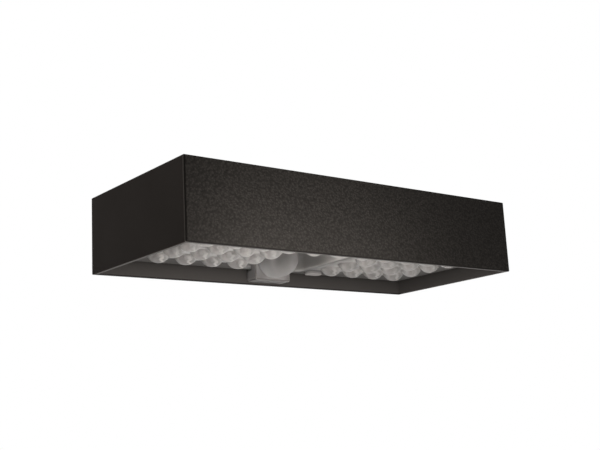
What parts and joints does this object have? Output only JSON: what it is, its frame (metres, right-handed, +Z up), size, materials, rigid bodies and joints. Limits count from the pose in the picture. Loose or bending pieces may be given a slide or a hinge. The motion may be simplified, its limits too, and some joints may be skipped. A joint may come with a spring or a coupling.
{
  "type": "solar wall light",
  "caption": "Box-shaped outdoor wall light: solar panel on top, domed lens plate and motion sensor in the open underside, lifts off a hooked wall bracket.",
  "frame": {"origin": "middle of the two wall-screw holes in the bracket, on the wall", "axes": "+X to the right seen from the front, +Y into the wall, +Z up"},
  "size_m": [0.25, 0.108, 0.047],
  "materials": {
    "body_plastic": "fine-grained warm black moulded plastic",
    "lens": "milky translucent moulded plastic",
    "sensor_cap": "milky translucent moulded plastic",
    "button": "light grey silicone",
    "bracket_steel": "zinc-plated pressed steel",
    "glass": "clear cover glass",
    "cells": "dark blue-black silicon",
    "tinned": "tinned metal",
    "backsheet": "black laminate",
    "seal": "black foam rubber",
    "white_board": "white solder mask",
    "led": "yellow phosphor",
    "green_board": "green solder mask",
    "black_plastic": "black moulded plastic",
    "white_plastic": "white moulded plastic",
    "metal_can": "drawn metal can",
    "battery_wrap": "blue shrink wrap over a steel can",
    "screw_steel": "zinc-plated steel",
    "red_lead": "insulated wire",
    "white_lead": "insulated wire"
  },
  "bodies": {
    "bracket": {"wall_bracket": "bracket_steel"},
    "lamp": {"housing": "body_plastic", "light_tray": "body_plastic", "lens_plate": "lens", "sensor_cap": "sensor_cap", "panel_glass": "glass", "solar_cells": "cells", "cell_ribbons": "tinned", "battery_contacts": "tinned", "panel_backsheet": "backsheet", "panel_gasket": "seal", "tray_seal": "seal", "lens_seal": "seal", "led_board": "white_board", "leds": "led", "sensor_board": "green_board", "switch_board": "green_board", "control_board": "green_board", "sensor_back": "black_plastic", "tact_switch": "black_plastic", "control_chips": "black_plastic", "battery_holder": "black_plastic", "power_coil": "black_plastic", "wire_sockets": "white_plastic", "pyro_sensor": "metal_can", "reservoir_capacitor": "metal_can", "battery_cell": "battery_wrap", "tray_screws": "screw_steel", "led_board_screws": "screw_steel", "sensor_screws": "screw_steel", "switch_board_screws": "screw_steel", "battery_holder_screws": "screw_steel", "control_board_screws": "screw_steel", "battery_lead": "red_lead", "solar_lead": "red_lead", "led_lead": "white_lead", "sensor_lead": "white_lead", "switch_lead": "white_lead"},
    "button": {"mode_button": "button", "switch_plunger": "black_plastic"}
  },
  "joints": [
    {"name": "lift_off", "type": "slide", "parent": "bracket", "child": "lamp", "axis": [0, 0, 1], "range_m": [0, 0.006]},
    {"name": "button_press", "type": "slide", "parent": "lamp", "child": "button", "axis": [0, 0, 1], "range_m": [0, 0.0008], "stiffness_N_per_m": 1500}
  ]
}
